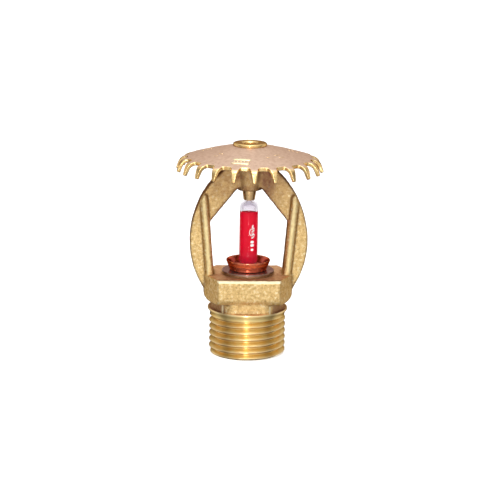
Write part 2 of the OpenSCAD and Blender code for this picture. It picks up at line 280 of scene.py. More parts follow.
def casting_field(x, y, z):
    """Distance to the casting: boss, neck, two ribbed arms and apex."""
    ax, ay = np.abs(x), np.abs(y)
    # Arms: two outer circles meet in a lens, and the window is cut out of it
    arm_r = np.where(z < ARM_MID_Z, ARM_LOW_R, ARM_R)
    lens = np.hypot(ax + arm_r - ARM_HALF_W, z - ARM_MID_Z) - arm_r
    web = common(lens, ay - WEB_HALF_T, 0.55)
    window = convex([(-9.85, BOSS_TOP - 1), (9.85, BOSS_TOP - 1), (10.8, 37.5), (3.2, 46.95),
                     (-3.2, 46.95), (-10.8, 37.5)], x, z, 0.5)
    arms = common(web, -window, 0.8)
    # Ribs lean outwards and end in a round nose
    lean = math.atan2(2.0, 22.6)
    off = (ax - 10.74 - (z - BOSS_TOP) * math.tan(lean)) * math.cos(lean)
    rib = np.hypot(off, np.maximum(ay - 2.45, 0)) - 1.15
    rib = common(rib, z - 45.4, 0.9)
    rib = common(rib, lens + 0.12, 0.5)
    body = union(arms, rib, 0.35)
    body = common(body, ARM_FOOT_Z - z, 0.3)
    # Apex: a cone that flows into the arms
    apex_r = 3.3 + (z - APEX_BOTTOM) * 0.0885
    apex = common(np.hypot(x, y) - apex_r, np.maximum(APEX_BOTTOM - z, z - APEX_TOP), 0.4)
    body = union(body, apex, 0.4)
    # Wrench boss, with a chamfer along the top of each flat and its feet cut back
    boss = common(convex(boss_outline(), x, y, 0.3), np.maximum(BOSS_BOTTOM - z, z - BOSS_TOP), 0.35)
    boss = common(boss, (ay + z - FLAT_Y - BOSS_TOP + 0.7) / math.sqrt(2), 0.25)
    boss = common(boss, (ay * 1.25 - (z - BOSS_BOTTOM) * 0.8 - (FLAT_Y - 0.8) * 1.25) / 1.48, 0.3)
    boss = common(boss, (ax - z + BOSS_BOTTOM - 11.35) / math.sqrt(2), 0.6)
    body = union(body, boss, 0.45)
    # Neck: short flats on a round stem
    neck_outline = [(6.2, -9.2), (11.1, 0), (6.2, 9.2), (-6.2, 9.2), (-11.1, 0), (-6.2, -9.2)]
    neck = common(convex(neck_outline, x, y, 0.2), np.hypot(x, y) - 10.3, 0.3)
    neck = np.maximum(neck, z - BOSS_BOTTOM - 1)
    body = union(body, neck, 0.3)
    dish = np.maximum(np.hypot(x, y) - RING_R + 0.12, z - NECK_BOTTOM)
    return np.maximum(union(body, dish, 0.9), NECK_BOTTOM - 0.35 - z)


def casting_bores(x, y, z):
    """Distance to the machined seat ring, and to the bores that go through the casting."""
    r = np.hypot(x, y)
    seat = np.maximum(r - BORE_R - 1, np.maximum(z - SEAT_Z, BOSS_TOP - 1 - z))
    waterway = common(r - BORE_R, z - SEAT_Z - 5, 0.1)
    hole = np.maximum(r - 2.0, APEX_BOTTOM - 2 - z)
    counterbore = np.maximum(r - 2.65, APEX_TOP - 3.4 - z)
    return seat, np.minimum(waterway, np.minimum(hole, counterbore))


def frame_casting(step=0.24):
    """The sand cast part of the frame, with its rough skin."""
    lo = (-ARM_HALF_W - 0.5, -RING_R - 0.4, NECK_BOTTOM - 0.8)
    hi = (ARM_HALF_W + 0.5, RING_R + 0.4, APEX_TOP + 0.5)
    origin, (x, y, z) = grid(lo, hi, step)
    body = casting_field(x, y, z)
    skin = 0.045 * lumps(body.shape, step, 0.9, 11) + 0.03 * lumps(body.shape, step, 0.5, 12)
    body = body + skin * np.clip(APEX_TOP - 0.6 - z, 0, 1)
    body = np.maximum(body, z - APEX_TOP)
    seat, bores = casting_bores(x, y, z)
    body = np.maximum(np.minimum(body, seat), -bores)
    points, quads = surface_net(body, origin, step)
    return mesh_object("frame_casting", points, quads)


def thread_radius(u):
    """Radius of the thread form at the share u of a turn, counted from the middle of a root."""
    z = abs((u % 1.0) - 0.5) * PITCH
    return CREST_R - max(0.0, min(1.0, (z - CREST_W / 2) / FLANK_W)) * (CREST_R - ROOT_R)


def frame_thread(columns=192):
    """The turned lower end: a right-hand thread, the shoulder ring and the waterway."""
    marks = [0, ROOT_W / 2]
    marks += [ROOT_W / 2 + FLANK_W * k / 3 for k in (1, 2, 3)]
    marks += [PITCH - m for m in reversed(marks[1:])]
    turns = int(THREAD_TOP / PITCH) + 2
    rows = [PITCH * t + m for t in range(-1, turns) for m in marks]
    top = NECK_BOTTOM
    above = [(10.42, THREAD_TOP + 0.2), (10.62, RING_Z - 0.5), (RING_R - 0.06, RING_Z + 0.1),
             (RING_R, RING_Z + 0.2), (RING_R, top - 0.08), (RING_R - 0.06, top), (RING_R - 0.3, top - 0.03)]
    bore = [(BORE_R + 0.02, top - 0.03), (BORE_R, top - 0.2), (BORE_R, 0.8), (BORE_R + 0.8, 0.0)]
    verts, faces = [], []
    for c in range(columns):
        a = 2 * math.pi * c / columns
        column = []
        for m in rows:
            z = m + PITCH * c / columns
            zc = min(max(z, 0.0), THREAD_TOP)
            limit = min(CREST_R, 10.19 + 0.9 * zc)
            fade = min(1.0, max(0.0, (THREAD_TOP - zc) / 0.5))
            r = thread_radius((zc - PITCH * c / columns) / PITCH)
            r = r * fade + 10.42 * (1 - fade)
            column.append((min(r, limit), zc))
        column += above + bore
        verts += [(r * math.cos(a), r * math.sin(a), z) for r, z in column]
    n = len(rows) + len(above) + len(bore)
    for c in range(columns):
        here, there = c * n, (c + 1) % columns * n
        # After a whole turn the helix has climbed one pitch, so the last column joins one pitch higher
        climb = len(marks) if c == columns - 1 else 0
        mate = [min(i + climb, len(rows) - 1) if i < len(rows) else i for i in range(n)]
        for i in range(n):
            j = (i + 1) % n
            faces.append((here + i, there + mate[i], there + mate[j], here + j))
    quads = [f for f in faces if len(set(f)) == 4]
    triangles = [tuple(dict.fromkeys(f)) for f in faces if len(set(f)) == 3]
    obj = mesh_object("frame_thread", verts, quads + triangles)
    bm = bmesh.new()
    bm.from_mesh(obj.data)
    bmesh.ops.remove_doubles(bm, verts=bm.verts, dist=0.01 * MM)
    bmesh.ops.dissolve_degenerate(bm, edges=bm.edges, dist=0.004 * MM)
    bm.to_mesh(obj.data)
    bm.free()
    obj.data.set_sharp_from_angle(angle=math.radians(38))
    return obj


# ---------------------------------------------------------------- deflector
def sheet_middle():
    """Middle line of the deflector sheet as (radius, height) points, from the hub to the tip of a tooth."""
    half = SHEET_T / 2
    bend_z = DEFL_TOP - (DEFL_BEND_AT - DEFL_FLAT_R) * math.tan(PLATE_SLOPE)
    run = BEND_R * math.tan((TOOTH_SLOPE - PLATE_SLOPE) / 2)
    start = (DEFL_BEND_AT - run * math.cos(PLATE_SLOPE), bend_z + run * math.sin(PLATE_SLOPE))
    centre = (start[0] - BEND_R * math.sin(PLATE_SLOPE), start[1] - BEND_R * math.cos(PLATE_SLOPE))
    line = [(0.0, DEFL_TOP - half), (DEFL_FLAT_R - half * math.tan(PLATE_SLOPE / 2), DEFL_TOP - half)]
    line.append((12.2, DEFL_TOP - half - (12.2 - DEFL_FLAT_R) * math.tan(PLATE_SLOPE) + 0.14))
    for k in range(7):
        a = math.pi / 2 - PLATE_SLOPE - (TOOTH_SLOPE - PLATE_SLOPE) * k / 6
        line.append((centre[0] + (BEND_R - half) * math.cos(a), centre[1] + (BEND_R - half) * math.sin(a)))
    tip = (DEFL_BEND_AT + TOOTH_LEN * math.cos(TOOTH_SLOPE), bend_z - TOOTH_LEN * math.sin(TOOTH_SLOPE))
    line.append((tip[0] - half * math.sin(TOOTH_SLOPE), tip[1] - half * math.cos(TOOTH_SLOPE)))
    return line, bend_z


def deflector(step=0.2):
    """The coned sheet with its slots cut and its teeth bent down."""
    reach = DEFL_HI[0] + 0.3
    origin, (x, y, z) = grid((-reach, -reach, DEFL_LO[2] - 0.5), (reach, reach, DEFL_TOP + 0.5), step)
    line, bend_z = sheet_middle()
    r = np.hypot(x, y)
    near = None
    for (ra, za), (rb, zb) in zip(line, line[1:]):
        dr, dz = rb - ra, zb - za
        t = np.clip(((r - ra) * dr + (z - za) * dz) / (dr * dr + dz * dz), 0, 1)
        d = np.hypot(r - ra - t * dr, z - za - t * dz)
        near = d if near is None else np.minimum(near, d)
    sheet = near - SHEET_T / 2
    beyond = (r - line[-1][0]) * math.cos(TOOTH_SLOPE) - (z - line[-1][1]) * math.sin(TOOTH_SLOPE)
    sheet = common(sheet, beyond, 0.3)
    # One slot, repeated by folding the angle about the axis
    pitch = 2 * math.pi / TEETH
    turn = (np.arctan2(y, x) - DEFL_TURN) / pitch
    off = (turn - np.floor(turn) - 0.5) * pitch
    along, across = r * np.cos(off), r * np.abs(np.sin(off))
    low = np.clip((bend_z - 0.2 - z) / (TOOTH_LEN - 0.2), 0, 1)
    half_w = SLOT_ROOT_W / 2 + 0.27 * np.clip(along - SLOT_ROOT_R - SLOT_CORNER_R, 0, 1.5) + 0.59 * low
    c = SLOT_CORNER_R
    in_r, in_w = SLOT_ROOT_R + c - along, across - half_w + c
    slot = np.hypot(np.maximum(in_r, 0), np.maximum(in_w, 0)) + np.minimum(np.maximum(in_r, in_w), 0) - c
    sheet = common(sheet, -slot.astype(np.float32), 0.22)
    hole = r - 2.65
    sheet = np.maximum(sheet, -hole)
    points, quads = surface_net(sheet.astype(np.float32), origin, step)
    return mesh_object("deflector_plate", points, quads)


def ellipsoid_bar(verts, faces, centre, along, across, up, half_l, half_w, height, n=16, m=5):
    """A low round bar that stands out of a surface at centre."""
    first = len(verts)
    for i in range(m + 1):
        t = math.pi / 2 * i / m
        w, h = math.cos(t) ** 0.6 if i < m else 0.0, math.sin(t)
        for j in range(n):
            a = 2 * math.pi * j / n
            ca, sa = math.cos(a), math.sin(a)
            ex = half_l * math.copysign(abs(ca) ** 0.45, ca) * w
            ey = half_w * math.copysign(abs(sa) ** 0.7, sa) * w
            verts.append(centre + along * ex + across * ey + up * (h * height - 0.25 * (i == 0)))
    for i in range(m):
        for j in range(n):
            k = (j + 1) % n
            a, b = first + i * n, first + (i + 1) * n
            faces.append((a + j, a + k, b + k, b + j))
    faces.append(tuple(first + j for j in reversed(range(n))))


# Groups of stamped bars: azimuth, radius, number of bars, half their length, and their spacing
FRONT_MARK = [(-12.5, 13.6, 2, 2.6, 2.3)]
ROUND_MARKS = [(-53, 11.0, 2, 0.8, 1.7), (24, 11.0, 1, 0.6, 1.7), (43, 11.0, 2, 1.0, 1.7),
               (98, 12.0, 2, 1.6, 2.3), (152, 12.4, 2, 2.0, 2.3), (-108, 12.0, 2, 1.4, 2.3)]


def deflector_marks(name, groups, half_w, height):
    """Plain raised bars and dots stamped on the plate."""
    verts, faces = [], []
    for azimuth, radius, bars, half_l, spread in groups:
        a = math.radians(azimuth)
        out = Vector((math.sin(a), -math.cos(a), 0))
        along = Vector((math.cos(a), math.sin(a), 0))
        across = out * math.cos(PLATE_SLOPE) - Vector((0, 0, 1)) * math.sin(PLATE_SLOPE)
        up = out * math.sin(PLATE_SLOPE) + Vector((0, 0, 1)) * math.cos(PLATE_SLOPE)
        for i in range(bars):
            r = radius + (i - (bars - 1) / 2) * spread
            z = DEFL_TOP - (r - DEFL_FLAT_R) * math.tan(PLATE_SLOPE) + 0.1
            middle = out * r + Vector((0, 0, z))
            ellipsoid_bar(verts, faces, middle, along, across, up, half_l, half_w, height)
        if spread < 2:
            continue
        z = DEFL_TOP - (radius - DEFL_FLAT_R) * math.tan(PLATE_SLOPE) + 0.1
        for i in (-2, -1, 0, 1, 2):
            spot = out * radius + along * (i * half_l / 2.8) + Vector((0, 0, z))
            ellipsoid_bar(verts, faces, spot, across, along, up, 0.3, 0.17, height * 0.7)
    return mesh_object(name, [tuple(v) for v in verts], faces)


# ---------------------------------------------------------------- turned pieces
def deflector_bushing():
    """Flanged bushing with its shank in the apex."""
    r, top, bottom, under = BUSH_HI[0], BUSH_HI[2], BUSH_LO[2], DEFL_TOP
    outline = [(2.05, bottom + 0.2), (2.25, bottom), (2.6, bottom), (2.6, under), (r - 0.1, under),
               (r, under + 0.15), (r, top - 0.22), (r - 0.28, top), (2.45, top), (2.05, top - 0.4)]
    return turned("deflector_bushing_flange", soften(outline, 0.1))


def screw_thread_rows(z0, z1, pitch, depth, r, column, columns):
    """Radius and height of a fine right-hand thread along one column of a turned part."""
    rows = []
    for k in range(int((z1 - z0) / pitch) + 3):
        for u in (0.0, 0.5):
            z = z0 + (k - 1 + u + column / columns) * pitch
            zc = min(max(z, z0), z1)
            phase = ((zc - z0) / pitch - column / columns) % 1.0
            rows.append((r - depth * abs(phase - 0.5) * 2, zc))
    return rows


def compression_screw(columns=96):
    """Screw with a tapered nose below, a fine thread, and a hexagon socket on top."""
    r, top, tip = SCREW_HI[0], SCREW_HI[2], SCREW_LO[2]
    base = NOSE_BASE_Z
    verts, faces, n = [], [], None
    for c in range(columns):
        a = 2 * math.pi * c / columns
        column = [(0.35, tip), (1.42, tip), (1.53, tip + 0.04), (1.58, tip + 0.14), (1.9, base - 0.3),
                  (1.93, base - 0.1), (r - 0.01, base + 0.3)]
        column += screw_thread_rows(base + 0.5, top - 0.5, 0.5, 0.2, r, c, columns)
        column += [(r - 0.08, top - 0.4), (r - 0.35, top)]
        hexagon = 1.0 / math.cos((a % (math.pi / 3)) - math.pi / 6)
        column += [(hexagon + 0.12, top), (hexagon, top - 0.12), (hexagon, top - 1.5), (0.35, top - 1.9)]
        verts += [(q * math.cos(a), q * math.sin(a), z) for q, z in column]
        n = len(column)
    for c in range(columns):
        here, there = c * n, (c + 1) % columns * n
        faces += [(here + i, there + i, there + i + 1, here + i + 1) for i in range(n - 1)]
    faces.append([c * n for c in reversed(range(columns))])
    faces.append([c * n + n - 1 for c in range(columns)])
    return mesh_object("compression_screw_body", verts, faces, 35)


def bulb_outline(inset, z_cut=None):
    """Half outline of the bulb at some distance inside its outer face, from the bottom up."""
    r, dome = BULB_HI[0] + BULB_SWELL, BULB_DOME_R
    pivot = BULB_LO[2] + BULB_HI[0]
    line = []
    for k in range(17):
        a = math.radians(-90 + 90 * k / 16)
        line.append(((r - inset) * math.cos(a), pivot + (r - inset) * math.sin(a)))
    for k in range(17):
        a = math.radians(90 * k / 16)
        reach = dome - inset
        line.append((r - dome + reach * math.cos(a), BULB_HI[2] - dome + reach * math.sin(a)))
    line[0] = (0.0, line[0][1])
    line.append((0.0, BULB_HI[2] - inset))
    if z_cut is None:
        return line
    low = [p for p in line if p[1] < z_cut]
    return low


def bulb_glass():
    """Closed glass bulb with its wall."""
    outer = bulb_outline(0)
    inner = [p for p in bulb_outline(BULB_WALL) if p[1] < BULB_HI[2] - BULB_DOME_R]
    inner += [(1.98, BULB_HI[2] - 1.75), (1.7, BULB_HI[2] - 1.25), (1.15, BULB_HI[2] - 0.8),
              (0.5, BULB_HI[2] - 0.55), (0.0, BULB_HI[2] - 0.45)]
    glass = turned("bulb_glass_shell", outer, 96, 60)
    cavity = turned("bulb_cavity", inner[::-1], 96, 60)
    bm = bmesh.new()
    bm.from_mesh(glass.data)
    bm.from_mesh(cavity.data)
    bm.to_mesh(glass.data)
    bm.free()
    bpy.data.objects.remove(cavity)
    return glass


def bulb_liquid():
    """Liquid up to its meniscus. It wets the glass, so it reaches just into the wall."""
    top = LIQUID_HI[2]
    line = bulb_outline(0.42, top - 0.2)
    r = BULB_HI[0] - 0.36
    line += [(r, top + 0.06), (r - 0.1, top + 0.05), (r - 0.3, top), (r - 0.7, top - 0.03), (0.0, top - 0.04)]
    return turned("bulb_liquid_fill", line, 96, 60)


def ink_patch(verts, faces, azimuth, z, outline, r):
    """A thin patch of ink that follows the round glass."""
    thick = 0.03
    first, n = len(verts), len(outline)
    for depth in (0, thick):
        for u, v in outline:
            a = azimuth + u / r
            verts.append(((r + depth) * math.sin(a), -(r + depth) * math.cos(a), z + v))
    faces.append([first + n + i for i in range(n)])
    faces.append([first + i for i in reversed(range(n))])
    for i in range(n):
        j = (i + 1) % n
        faces.append((first + i, first + j, first + n + j, first + n + i))


def stadium(half_l, half_w, tilt=0.0, shift=0.0):
    """A bar with round ends, tilted, and moved sideways."""
    line = []
    for k in range(20):
        a = 2 * math.pi * (k + 0.5) / 20
        u = math.copysign(half_l - half_w, math.cos(a)) + half_w * math.cos(a)
        v = half_w * math.sin(a)
        across = u * math.cos(tilt) - v * math.sin(tilt) + shift
        line.append((across, u * math.sin(tilt) + v * math.cos(tilt)))
    return line


def bulb_marks():
    """Plain printed dots, bars and an open ring on the glass."""
    verts, faces = [], []
    r = BULB_HI[0] + 0.05
    azimuth = math.radians(21)
    for z, half_l, half_w in ((29.65, 0.4, 0.34), (30.9, 0.52, 0.36), (31.85, 0.5, 0.38)):
        ink_patch(verts, faces, azimuth, z, stadium(half_l, half_w), r)
    for z, half_l, tilt, shift in ((33.15, 0.5, 0.5, 0.15), (34.0, 0.55, -0.4, 0.25), (34.9, 0.5, 0.6, 0.2),
                                   (35.8, 0.5, -0.5, 0.25), (36.4, 0.3, 0.9, 0.1)):
        ink_patch(verts, faces, azimuth, z, stadium(half_l, 0.17, tilt, shift), r)
    for k in range(12):
        a = 2 * math.pi * k / 14 + 1.0
        spot = stadium(0.2, 0.09, math.atan2(0.95 * math.cos(a), -0.6 * math.sin(a)), 0.6 * math.cos(a) - 0.2)
        ink_patch(verts, faces, azimuth, 34.6 + 0.95 * math.sin(a), spot, r)
    return mesh_object("bulb_ink_marks", verts, faces, 30)


def pip_cap():
    """Drawn copper cup with a flared, rolled lip."""
    z, lip, lip_z = CAP_LO[2], CAP_HI[0], CAP_HI[2]
    outline = [(STACK_HOLE_R, z), (4.75, z), (5.1, z + 0.15), (5.24, z + 0.4), (5.29, 24.35),
               (5.33, 24.46), (5.5, 24.6), (5.72, 25.1),
               (lip - 0.17, lip_z - 0.72), (lip, lip_z - 0.42), (lip + 0.02, lip_z - 0.2),
               (lip - 0.05, lip_z - 0.04), (lip - 0.2, lip_z), (lip - 0.38, lip_z - 0.1),
               (lip - 0.62, lip_z - 0.55), (5.1, 24.9), (4.85, 24.5), (4.5, z + 0.66), (4.1, z + 0.42),
               (STACK_HOLE_R, z + 0.4)]
    return turned("pip_cap_cup", soften(outline, 0.12))


def pip_insert():
    """Steel insert with the ball seat for the bulb and the stem that carries the stack."""
    lo, top = INSERT_LO[2], INSERT_HI[2]
    pivot = BULB_LO[2] + BULB_HI[0]
    ball = BULB_HI[0] + 0.1
    floor_z = CAP_LO[2] + 0.4
    rim = math.sqrt(ball ** 2 - (pivot - top) ** 2)
    outline = [(0.0, lo), (2.9, lo), (3.1, lo + 0.2), (3.1, lo + 0.5), (2.4, lo + 0.5), (2.4, floor_z),
               (3.3, floor_z), (3.3, top - 0.15), (3.15, top), (rim, top)]
    for k in range(1, 9):
        a = math.asin(rim / ball) * (1 - k / 8)
        outline.append((ball * math.sin(a), pivot - ball * math.cos(a)))
    return turned("pip_insert_core", outline)


def stack_ring(name, lo, hi, inner, round_by):
    """One flat ring of the sealing stack, its edges rolled."""
    outline = [(inner, lo[2]), (hi[0], lo[2]), (hi[0], hi[2]), (inner, hi[2])]
    return turned(name, soften(outline, round_by, 4))


# ---------------------------------------------------------------- materials
class Paint:
    """Builds one material's nodes. Patterns use object coordinates in millimetres."""

    def __init__(self, name):
        self.material = bpy.data.materials.new(name)
        self.material.use_nodes = True
        self.tree = self.material.node_tree
        self.shader = self.tree.nodes["Principled BSDF"]
        where = self.tree.nodes.new("ShaderNodeTexCoord")
        scale = self.tree.nodes.new("ShaderNodeMapping")
        scale.inputs["Scale"].default_value = (1 / MM,) * 3
        self.join(where.outputs["Object"], scale.inputs["Vector"])
        self.place = scale.outputs["Vector"]

    def join(self, out, into):
        self.tree.links.new(out, into)

    def node(self, kind, **settings):
        n = self.tree.nodes.new("ShaderNode" + kind)
        for key, value in settings.items():
            setattr(n, key, value)
        return n

    def set(self, **values):
        for key, value in values.items():
            self.shader.inputs[key.replace("_", " ")].default_value = value

    def noise(self, scale, detail=3.0, rough=0.55, stretch=None):
        n = self.node("TexNoise")
        n.inputs["Scale"].default_value = scale
        n.inputs["Detail"].default_value = detail
        n.inputs["Roughness"].default_value = rough
        place = self.place
        if stretch is not None:
            m = self.node("Mapping")
            m.inputs["Scale"].default_value = stretch
            self.join(place, m.inputs["Vector"])
            place = m.outputs["Vector"]
        self.join(place, n.inputs["Vector"])
        return n.outputs["Fac"]

    def ramp(self, value, stops):
        n = self.node("ValToRGB")
        e = n.color_ramp.elements
        while len(e) < len(stops):
            e.new(0.5)
        for element, (at, colour) in zip(e, stops):
            element.position = at
            element.color = (*colour, 1) if len(colour) == 3 else colour
        self.join(value, n.inputs["Fac"])
        return n.outputs["Color"]

    def scale(self, value, lo, hi, to_lo, to_hi):
        n = self.node("MapRange")
        for key, v in zip(("From Min", "From Max", "To Min", "To Max"), (lo, hi, to_lo, to_hi)):
            n.inputs[key].default_value = v
        self.join(value, n.inputs["Value"])
        return n.outputs["Result"]

    def mix(self, factor, a, b, blend="MIX"):
        n = self.node("Mix", data_type="RGBA", blend_type=blend)
        for socket, value in ((n.inputs[0], factor), (n.inputs[6], a), (n.inputs[7], b)):
            if isinstance(value, bpy.types.NodeSocket):
                self.join(value, socket)
            else:
                socket.default_value = value if isinstance(value, float) else (*value, 1)
        return n.outputs[2]

    def add(self, a, b):
        n = self.node("Math", operation="ADD")
        self.join(a, n.inputs[0])
        self.join(b, n.inputs[1])
        return n.outputs[0]

    def colour(self, out):
        self.join(out, self.shader.inputs["Base Color"])

    def roughness(self, out):
        self.join(out, self.shader.inputs["Roughness"])

    def bump(self, height, distance_mm, strength=1.0):
        n = self.node("Bump")
        n.inputs["Distance"].default_value = distance_mm * MM
        n.inputs["Strength"].default_value = strength
        self.join(height, n.inputs["Height"])
        self.join(n.outputs["Normal"], self.shader.inputs["Normal"])

    def turned_tangent(self):
        n = self.node("Tangent", direction_type="RADIAL", axis="Z")
        self.join(n.outputs["Tangent"], self.shader.inputs["Tangent"])

    def edge_view(self):
        n = self.node("LayerWeight")
        n.inputs["Blend"].default_value = 0.5
        return n.outputs["Facing"]

    def pointiness(self):
        return self.node("NewGeometry").outputs["Pointiness"]

    def times(self, a, b):
        n = self.node("Math", operation="MULTIPLY")
        self.join(a, n.inputs[0])
        self.join(b, n.inputs[1])
        return n.outputs[0]

    def size_of(self, value):
        n = self.node("Math", operation="ABSOLUTE")
        self.join(value, n.inputs[0])
        return n.outputs[0]

    def along(self, axis):
        n = self.node("SeparateXYZ")
        self.join(self.place, n.inputs[0])
        return n.outputs[axis]

    def facing(self, axis):
        n = self.node("SeparateXYZ")
        self.join(self.node("TexCoord").outputs["Normal"], n.inputs[0])
        return n.outputs[axis]


def cast_brass():
    """Sand cast and blasted brass: a golden skin with a bright and dark grain, rubbed bright on its edges,
    with painted shade in its hollows, creases and sides, and painted highlights on the rib crests, the
    chamfers and the neck corners.
    """
    p = Paint("cast_brass")
    p.set(Metallic=1.0)
    broad = p.ramp(p.noise(0.3, 2), [(0.3, (0.7, 0.47, 0.2)), (0.7, (0.86, 0.62, 0.29))])
    grain = p.ramp(p.noise(1.25, 4, 0.75), [(0.32, (0.3, 0.16, 0.05)), (0.44, (0.7, 0.46, 0.18)),
                                           (0.55, (0.88, 0.64, 0.29)), (0.67, (1.0, 0.95, 0.7))])
    skin = p.mix(0.68, broad, grain)
    # Fettled face on top of the boss, and painted shade on the skin up by the apex, under the deflector
    flat = p.times(p.scale(p.facing("Z"), 0.8, 0.95, 0, 1), p.scale(p.along("Z"), 23.2, 22.8, 0, 1))
    fettled = p.ramp(p.noise(0.9, 4, 0.65), [(0.36, (0.74, 0.38, 0.2)), (0.62, (1.0, 0.68, 0.42))])
    skin = p.mix(flat, skin, fettled)
    # Painted shade: the skin darkens towards the apex, under the deflector
    high = p.scale(p.along("Z"), 34, 48, 0, 1)
    near = p.scale(p.size_of(p.along("X")), 14, 3.0, 0.45, 1)
    shade_under_deflector = p.times(p.times(high, near), p.scale(p.noise(0.45, 3), 0.3, 0.62, 1, 0.5))
    skin = p.mix(shade_under_deflector, skin, (0.33, 0.16, 0.075))
    # Painted shade in the hollow of the web to the right of the apex
    right = p.times(p.scale(p.along("X"), 2.8, 3.8, 0, 1), p.scale(p.along("X"), 7.6, 5.4, 0, 1))
    right = p.times(right, p.scale(p.along("Z"), 43.5, 46.5, 0, 1))
    apex_hollow_shade = p.times(right, p.scale(p.noise(0.7, 3), 0.35, 0.6, 1, 0.5))
    skin = p.mix(apex_hollow_shade, skin, (0.2, 0.08, 0.05))
    edges = p.pointiness()
    # Painted shade in the creases, where the surface is hollow
    skin = p.mix(p.scale(edges, 0.497, 0.47, 0, 0.55), skin, (0.3, 0.16, 0.07))
    # Painted shade along the sides of the webs and down the outer sides of the boss
    deep, over = p.size_of(p.along("Y")), p.along("Z")
    web_side_shade = p.times(p.scale(deep, 2.38, 2.12, 0, 0.85), p.scale(over, 23.2, 24.5, 0, 1))
    boss_side_shade = p.scale(p.size_of(p.along("X")), 12.05, 12.35, 0, 0.7)
    boss_side_shade = p.times(boss_side_shade, p.scale(over, 20.5, 19.5, 0, 1))
    skin = p.mix(p.add(web_side_shade, boss_side_shade), skin, (0.2, 0.09, 0.045))
    # A dark line along the inner edge of the chamfer on top of each flat
    top_edge = p.times(p.scale(deep, 8.5, 8.9, 0, 0.6), p.scale(over, 22.3, 22.45, 0, 1))
    skin = p.mix(top_edge, skin, (0.25, 0.12, 0.05))
    # Sharp edges rubbed bright, with a painted highlight along the crests of the ribs and on the chamfer on
    # top of each flat
    wear_and_sheen = p.scale(edges, 0.53, 0.6, 0, 0.55)
    aside = p.size_of(p.along("X"))
    # Painted highlight along the crests of the ribs
    crest = p.times(p.scale(deep, 3.25, 3.6, 0, 0.75), p.scale(over, 22.8, 23.6, 0, 1))
    crest = p.times(p.times(crest, p.scale(over, 46, 40, 0.4, 1)), p.scale(aside, 7, 9, 0, 1))
    # Painted highlight on the chamfer on top of each flat
    chamfer = p.times(p.scale(deep, 9.0, 9.2, 0, 1), p.times(p.scale(over, 21.7, 21.95, 0, 1),
                                                              p.scale(over, 22.5, 22.4, 0, 1)))
    skin = p.mix(crest, skin, (1.0, 0.84, 0.45))
    wear_and_sheen = p.add(wear_and_sheen, chamfer)
    skin = p.mix(wear_and_sheen, skin, (1.0, 0.92, 0.62))
    # Shaded recess beside the neck, and a painted glint on the corners of its flats
    recess = p.times(p.scale(over, 15.5, 15.2, 0, 0.6), p.scale(aside, 6.3, 6.9, 0, 1))
    skin = p.mix(recess, skin, (0.28, 0.13, 0.1))
    corner = p.size_of(p.scale(p.along("X"), -10, 10, -9.3, 10.7))
    glint = p.times(p.times(p.scale(corner, 6.2, 6.35, 0, 1), p.scale(corner, 6.8, 6.65, 0, 1)),
                    p.scale(over, 15.1, 14.9, 0, 0.9))
    skin = p.mix(glint, skin, (1.0, 0.9, 0.6))
    p.colour(skin)
    p.set(Specular_Tint=(0.45, 0.3, 0.2, 1))
    p.roughness(p.mix(wear_and_sheen, p.scale(p.noise(2.2, 3), 0.3, 0.7, 0.34, 0.5), (0.28, 0.28, 0.28)))
    p.bump(p.add(p.noise(1.9, 4, 0.65), p.noise(4.5, 2)), 0.15, 0.9)
    return p.material


def turned_brass(name, rough, grooves, low, high):
    """Brass from the lathe: warm gold, its highlights drawn out across the ring shaped tool marks."""
    p = Paint(name)
    p.set(Metallic=1.0, Anisotropic=grooves, Anisotropic_Rotation=0.25)
    rings = p.noise(6.0, 2, 0.5, (0.08, 0.08, 1.0))
    stain = p.noise(0.5, 3)
    skin = p.mix(0.5, p.ramp(rings, [(0.3, low), (0.7, high)]), p.ramp(stain, [(0.35, low), (0.65, high)]))
    # Painted shade where the surface turns away from view
    skin = p.mix(p.scale(p.edge_view(), 0.8, 0.97, 0, 0.75), skin, (0.2, 0.09, 0.04))
    # Painted shade on the downward facing flanks of the thread
    under = p.times(p.scale(p.facing("Z"), -0.3, -0.7, 0, 0.3), p.scale(p.along("Z"), 11.2, 10.9, 0, 1))
    skin = p.mix(under, skin, (0.5, 0.22, 0.05))
    # Crests and sharp edges made brighter: part wear, part painted highlight
    skin = p.mix(p.scale(p.pointiness(), 0.52, 0.6, 0, 0.6), skin, (1.0, 0.86, 0.66))
    p.colour(skin)
    p.set(Specular_Tint=(0.45, 0.3, 0.2, 1))
    p.roughness(p.scale(stain, 0.3, 0.7, rough - 0.04, rough + 0.06))
    p.bump(rings, 0.02, 0.5)
    p.turned_tangent()
    return p.material


def bronze_sheet():
    """Pickled bronze sheet: matt and pinkish on the plate, bright gold on the teeth and the cut edges."""
    p = Paint("bronze_sheet")
    p.set(Metallic=1.0)
    edge = p.scale(p.size_of(p.facing("Z")), 0.93, 0.72, 0.0, 1.0)
    plate = p.ramp(p.noise(1.1, 4, 0.6), [(0.3, (0.64, 0.46, 0.345)), (0.7, (0.8, 0.62, 0.49))])
    tooth = p.ramp(p.noise(0.9, 3), [(0.3, (0.86, 0.52, 0.2)), (0.7, (1.0, 0.78, 0.38))])
    skin = p.mix(edge, plate, tooth)
    # Painted shade on the teeth and cut edges where they turn away from view
    dark = p.times(p.scale(p.edge_view(), 0.62, 0.9, 0, 0.85), edge)
    p.colour(p.mix(dark, skin, (0.22, 0.09, 0.04)))
    p.set(Specular_Tint=(0.6, 0.4, 0.3, 1))
    p.roughness(p.scale(edge, 0, 1, 0.5, 0.22))
    p.bump(p.noise(3.0, 4, 0.6), 0.03, 0.6)
    return p.material


def rubbed_bronze():
    """Raised marks on the plate, rubbed bright."""
    p = Paint("rubbed_bronze")
    p.set(Metallic=1.0)
    p.colour(p.ramp(p.noise(2.0, 3), [(0.3, (0.9, 0.66, 0.34)), (0.6, (1.0, 0.9, 0.6))]))
    p.roughness(p.scale(p.noise(2.0, 3), 0.3, 0.7, 0.25, 0.4))
    return p.material


